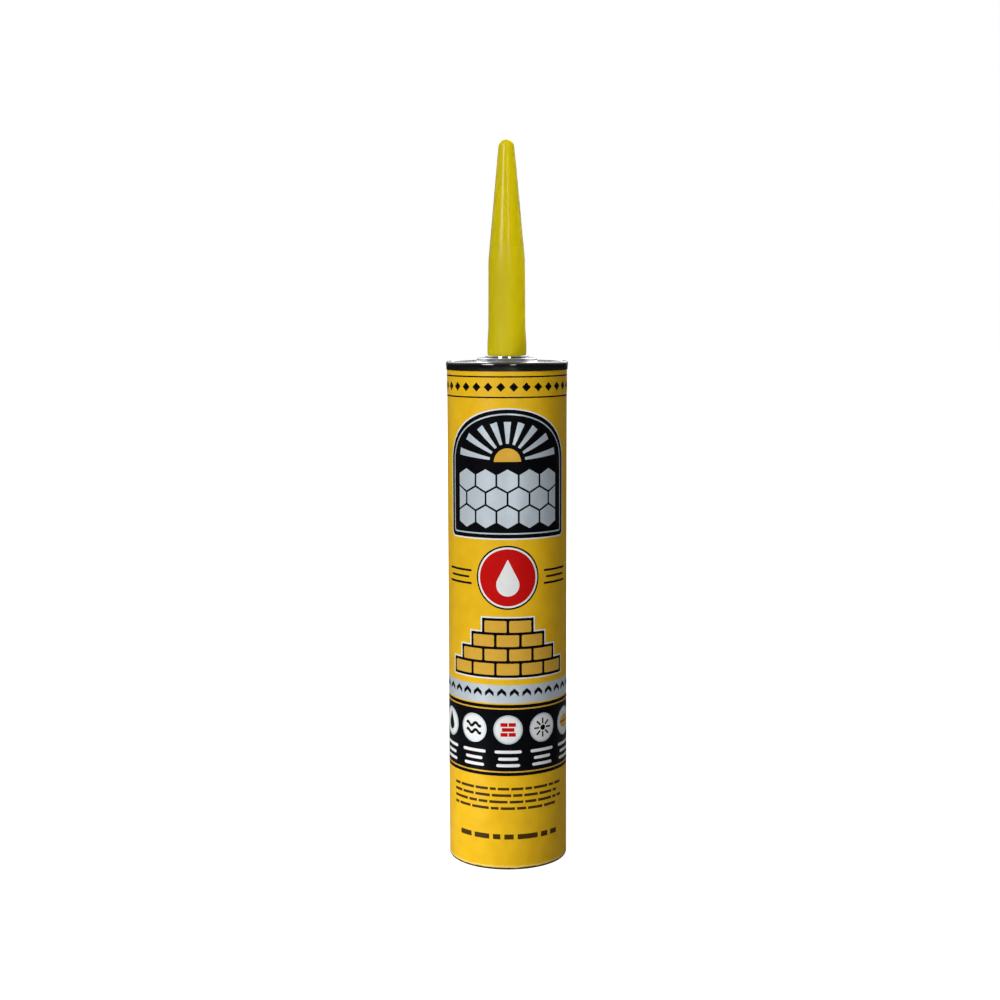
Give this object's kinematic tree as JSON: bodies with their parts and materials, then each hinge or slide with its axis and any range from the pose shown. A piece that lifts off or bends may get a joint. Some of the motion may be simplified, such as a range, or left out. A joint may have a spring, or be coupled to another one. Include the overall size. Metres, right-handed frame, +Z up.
{
  "type": "caulk tube",
  "caption": "Sealant cartridge: labelled board tube with a seamed metal end, a long closed tapered nozzle, a foil seal, the filling and a sliding plunger at the open rear end.",
  "frame": {"origin": "centre of the open rear end, on the plane that the cartridge stands on", "axes": "+Z up along the tube's axis, from the open end to the nozzle's tip; -Y is the front of the label"},
  "size_m": [0.0514, 0.0514, 0.3047],
  "materials": {
    "wound_board": "matte",
    "label_paper": "satin",
    "tinplate": "polished",
    "nozzle_plastic": "satin",
    "foil": "satin",
    "plunger_plastic": "satin",
    "filling": "matte",
    "ink_black": "satin",
    "ink_silver": "satin",
    "ink_white": "satin",
    "ink_red": "satin",
    "ink_gold": "satin",
    "ink_brown": "satin"
  },
  "bodies": {
    "cartridge": {"cartridge_tube": "wound_board", "printed_label": "label_paper", "metal_end": "tinplate", "nozzle": "nozzle_plastic", "foil_membrane": "foil", "adhesive_fill": "filling"},
    "plunger": {"plunger": "plunger_plastic"}
  },
  "joints": [
    {"name": "plunger_slide", "type": "slide", "parent": "cartridge", "child": "plunger", "axis": [0, 0, 1], "range_m": [0, 0.172], "deforming": ["adhesive_fill"]}
  ]
}
